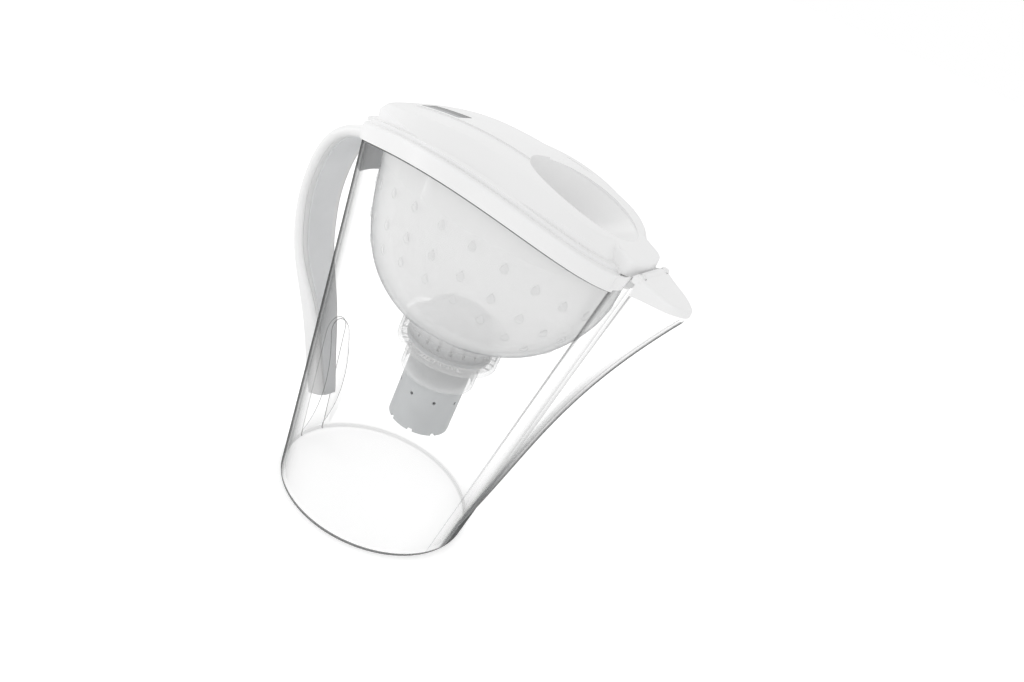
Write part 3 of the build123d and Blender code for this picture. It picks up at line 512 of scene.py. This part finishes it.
def smoked_acrylic():
    """Smoked acrylic window: dark with a soft gloss, and a painted highlight as a paler strip along its -Y
    side.
    """
    made, tree = material("smoked_acrylic_window")
    low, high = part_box("indicator_lens")
    edge = (low + high).y / 2 - HIGHLIGHT_STRIP_EDGE
    place = add(tree, "ShaderNodeTexCoord").outputs["Object"]
    at = add(tree, "ShaderNodeSeparateXYZ", links={"Vector": place}).outputs
    band = add(tree, "ShaderNodeMapRange", {"From Min": edge, "From Max": edge + HIGHLIGHT_STRIP_FADE},
               {"Value": at["Y"]})
    # 929496 is the painted highlight along the -Y side.
    ramp = add(tree, "ShaderNodeValToRGB", links={"Fac": band},
               stops=((0.0, srgb("929496")), (1.0, srgb("4A4B4D"))))
    skin(tree, {"Roughness": 0.2, "IOR": 1.49, "Specular IOR Level": 0.2}, {"Base Color": ramp})
    return made


def display_glass():
    """Liquid-crystal glass: grey-green, flat and glossy."""
    made, tree = material("liquid_crystal_glass")
    skin(tree, {"Roughness": 0.1, "IOR": 1.5},
         {"Base Color": mottled(tree, "8C948C", "969E96", size_mm=15.0)})
    return made


def green_fr4():
    """Glass-epoxy board with a green solder mask, its tracks showing as paler lines about 2 mm apart."""
    made, tree = material("green_fr4_board")
    place = add(tree, "ShaderNodeTexCoord").outputs["Object"]
    tracks = add(tree, "ShaderNodeTexBrick",
                 {"Scale": per_metre(8.0), "Mortar Size": 0.06, "Color1": srgb("1E6E3C"),
                  "Color2": srgb("1A6636"), "Mortar": srgb("4FA06A")}, {"Vector": place})
    skin(tree, {"Roughness": 0.3, "Coat Weight": 0.3}, {"Base Color": tracks})
    return made


def pressed_steel():
    """Nickel-plated steel, pressed: the cell's can, bright with a soft sheen."""
    made, tree = material("nickel_plated_steel")
    skin(tree, {"Metallic": 1.0, "Roughness": 0.3},
         {"Base Color": mottled(tree, "C2C3C4", "D2D3D4", size_mm=6.0)})
    return made


def grey_key_rubber():
    """Mid grey silicone key, moulded matte."""
    made, tree = material("grey_key_rubber")
    skin(tree, {"Roughness": 0.6}, {"Base Color": mottled(tree, "7C7D7E", "868788", size_mm=5.0)})
    return made


finishes = {
    "clear_wall": clear_san(),
    "milky_wall": milky_polypropylene("milky_polypropylene_moulding", thin=0.45, thick=0.92),
    "white_gloss": glossy_abs(),
    "white_satin": satin_abs(),
    "grip_grey": grey_elastomer(),
    "cartridge_grey": grey_polypropylene("pale_grey_polypropylene", "BEC0C1", "C6C8C9"),
    "cartridge_dark": grey_polypropylene("mid_grey_polypropylene", "A8AAAC", "B2B4B6"),
    "mesh_white": woven_nylon(),
    "carbon_grains": packed_grains("granular_carbon", "0C0C0C", "3A3A3A", size_mm=1.2, rough=0.7),
    "mineral_beads": packed_grains("mineral_beads", "7E6E58", "D8C8AE", size_mm=2.2, rough=0.5),
    "seal_rubber": silicone_rubber(),
    "steel_pin": drawn_steel(),
    "lens_dark": smoked_acrylic(),
    "display_grey": display_glass(),
    "board_green": green_fr4(),
    "cell_steel": pressed_steel(),
    "key_grey": grey_key_rubber(),
}

for entry in frame["record"]["subparts"]:
    piece = nodes[entry["node"]]
    piece.data.materials.clear()
    piece.data.materials.append(finishes[entry["material_slot"]])


def drop_form():
    """One raised drop, lying on its back: a flat round dome drawn out to a point along +Y."""
    bpy.ops.object.select_all(action="DESELECT")
    bpy.ops.mesh.primitive_uv_sphere_add(segments=24, ring_count=12, radius=DROP_HALF_WIDTH)
    drop = bpy.context.object
    bpy.ops.object.mode_set(mode="EDIT")
    bpy.ops.transform.resize(value=(1, 1, DROP_RISE / DROP_HALF_WIDTH))
    bpy.ops.mesh.bisect(plane_co=(0, 0, -DROP_SUNK), plane_no=(0, 0, 1), clear_inner=True, use_fill=True)
    bpy.ops.mesh.select_all(action="DESELECT")
    bpy.ops.object.mode_set(mode="OBJECT")
    furthest = max(drop.data.vertices, key=lambda v: v.co.y)
    for vertex in drop.data.vertices:
        vertex.select = (vertex.co - furthest.co).length < SAME_PLACE
    bpy.ops.object.mode_set(mode="EDIT")
    bpy.ops.transform.translate(value=(0, DROP_POINT, 0), use_proportional_edit=True,
                                proportional_edit_falloff="SHARP", proportional_size=DROP_POINT_PULL)
    bpy.ops.object.mode_set(mode="OBJECT")
    return drop


def drops_on_reservoir():
    """Three rows of raised drops round the reservoir, each row level with the arched rim."""
    wall = nodes["reservoir"]
    into_wall = wall.matrix_world.inverted()
    form = drop_form()
    copies = []
    for reach in DROP_ROW_REACHES:
        for n in range(DROP_COLUMNS):
            turn = 2 * math.pi * n / DROP_COLUMNS
            ahead = math.cos(turn)
            aside = math.sin(turn)
            from_arch = RESERVOIR_CENTRE_X + RESERVOIR_HALF_LENGTH * ahead - ARCH_CENTRE_X
            level = ARCH_CENTRE_Z + math.sqrt(reach**2 - from_arch**2)
            start = Vector((RESERVOIR_CENTRE_X + RING_HALF_LENGTH * ahead, RING_HALF_WIDTH * aside, level))
            inward = Vector((-RING_AIM[0] * ahead, -RING_AIM[1] * aside, 0)).normalized()
            hit, place, normal, _ = wall.ray_cast(into_wall @ start, into_wall.to_3x3() @ inward)
            if not hit:
                continue
            place = wall.matrix_world @ place
            out = (wall.matrix_world.to_3x3() @ normal).normalized()
            side = Vector((0, 0, 1)).cross(out).normalized()
            upward = out.cross(side)
            turned = Matrix((side, upward, out)).transposed().to_4x4()
            mesh = form.data.copy()
            mesh.transform(Matrix.Translation(place) @ turned)
            copy = bpy.data.objects.new("drop", mesh)
            bpy.context.scene.collection.objects.link(copy)
            copies.append(copy)
    bpy.data.objects.remove(form)
    bpy.ops.object.select_all(action="DESELECT")
    for copy in copies:
        copy.select_set(True)
    bpy.context.view_layer.objects.active = copies[0]
    bpy.ops.object.join()
    drops = bpy.context.object
    drops.name = "reservoir_drops"
    bpy.ops.object.shade_smooth()
    drops.data.materials.append(milky_polypropylene("milky_polypropylene_drops", thin=0.12, thick=0.8))
    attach(drops, "reservoir")


def pale_floor():
    """A plain white floor that meets the white surroundings, keeping only the pitcher's shadow."""
    made, tree = material("white_studio_paper")
    rays = add(tree, "ShaderNodeLightPath").outputs
    to_camera = add(tree, "ShaderNodeMath", {"operation": "MULTIPLY", 1: FLOOR_GLOW_TO_CAMERA},
                    {0: rays["Is Camera Ray"]})
    lift = add(tree, "ShaderNodeMath", {"operation": "MULTIPLY_ADD", 1: FLOOR_GLOW_THROUGH_GLASS},
               {0: rays["Is Transmission Ray"], 2: to_camera})
    paper = add(tree, "ShaderNodeBsdfDiffuse", {"Color": srgb("FAFAFA")})
    glow = add(tree, "ShaderNodeEmission", {"Color": srgb("FFFFFF")}, {"Strength": lift})
    both = add(tree, "ShaderNodeAddShader", links={0: paper, 1: glow})
    add(tree, "ShaderNodeOutputMaterial", links={"Surface": both})
    bpy.ops.mesh.primitive_plane_add(size=FLOOR_SIZE, location=(0, 0, -FLOOR_GAP))
    floor = bpy.context.object
    floor.name = "floor"
    floor.data.materials.append(made)


def surroundings():
    """A white room: the camera and reflections see plain white, and the fill is a little less bright."""
    world = bpy.data.worlds.new("white_room")
    bpy.context.scene.world = world
    world.use_nodes = True
    tree = world.node_tree
    tree.nodes.clear()
    rays = add(tree, "ShaderNodeLightPath").outputs
    seen = add(tree, "ShaderNodeMath", {"operation": "MAXIMUM"},
               {0: rays["Is Camera Ray"], 1: rays["Is Transmission Ray"]})
    mirrored = add(tree, "ShaderNodeMath", {"operation": "MAXIMUM"}, {0: seen, 1: rays["Is Glossy Ray"]})
    fill = add(tree, "ShaderNodeBackground", {"Color": srgb("FFFFFF"), "Strength": ROOM_FILL})
    backdrop = add(tree, "ShaderNodeBackground", {"Color": srgb("FFFFFF"), "Strength": ROOM_WHITE})
    mixed = add(tree, "ShaderNodeMixShader", links={"Fac": mirrored, 1: fill, 2: backdrop})
    add(tree, "ShaderNodeOutputWorld", links={"Surface": mixed})


def lamp(name, place, target, width, watts, height=None, seen=False):
    """A soft lamp aimed at target: round, or a strip where it has a height."""
    data = bpy.data.lights.new(name, "AREA")
    data.shape = "RECTANGLE" if height else "DISK"
    data.size = width
    if height:
        data.size_y = height
    data.energy = watts
    made = bpy.data.objects.new(name, data)
    made.location = place
    made.visible_camera = seen
    aim = Vector(target) - Vector(place)
    made.rotation_euler = aim.to_track_quat("-Z", "Y").to_euler()
    bpy.context.scene.collection.objects.link(made)


def photo_camera():
    """The photograph's view: from the front right and above, rolled as the pitcher pours."""
    turn = math.radians(CAMERA_TURN)
    rise = math.radians(CAMERA_RISE)
    roll = math.radians(CAMERA_ROLL)
    back = Vector((math.sin(turn) * math.cos(rise), -math.cos(turn) * math.cos(rise), math.sin(rise)))
    right = Vector((math.cos(turn), math.sin(turn), 0))
    up = back.cross(right)
    right, up = right * math.cos(roll) + up * math.sin(roll), up * math.cos(roll) - right * math.sin(roll)
    data = bpy.data.cameras.new("photo_camera")
    data.sensor_width = CAMERA_SENSOR_MM
    data.lens = CAMERA_LENS_MM
    camera = bpy.data.objects.new("photo_camera", data)
    turned = Matrix((right, up, back)).transposed().to_4x4()
    camera.matrix_world = Matrix.Translation(Vector(CAMERA_TARGET) + back * CAMERA_DISTANCE) @ turned
    bpy.context.scene.collection.objects.link(camera)
    bpy.context.scene.camera = camera


drops_on_reservoir()
pale_floor()
surroundings()
lamp("key_lamp", place=(-1.2, 0.1, 1.1), target=(0, 0, 0.2), width=0.9, watts=2.0, seen=True)
lamp("side_lamp", place=(-1.1, -0.9, 0.15), target=(-0.1, 0, 0.15), width=0.8, watts=2.5)
lamp("front_lamp", place=(0.9, -1.1, 0.1), target=(0, 0, 0.15), width=0.8, watts=2.0)
lamp("strip_lamp", place=(-0.343, -0.33, 0.1), target=(-0.019, -0.056, 0.23), width=0.016, watts=0.062,
     height=0.3)
photo_camera()
bpy.context.scene.view_settings.view_transform = "Standard"
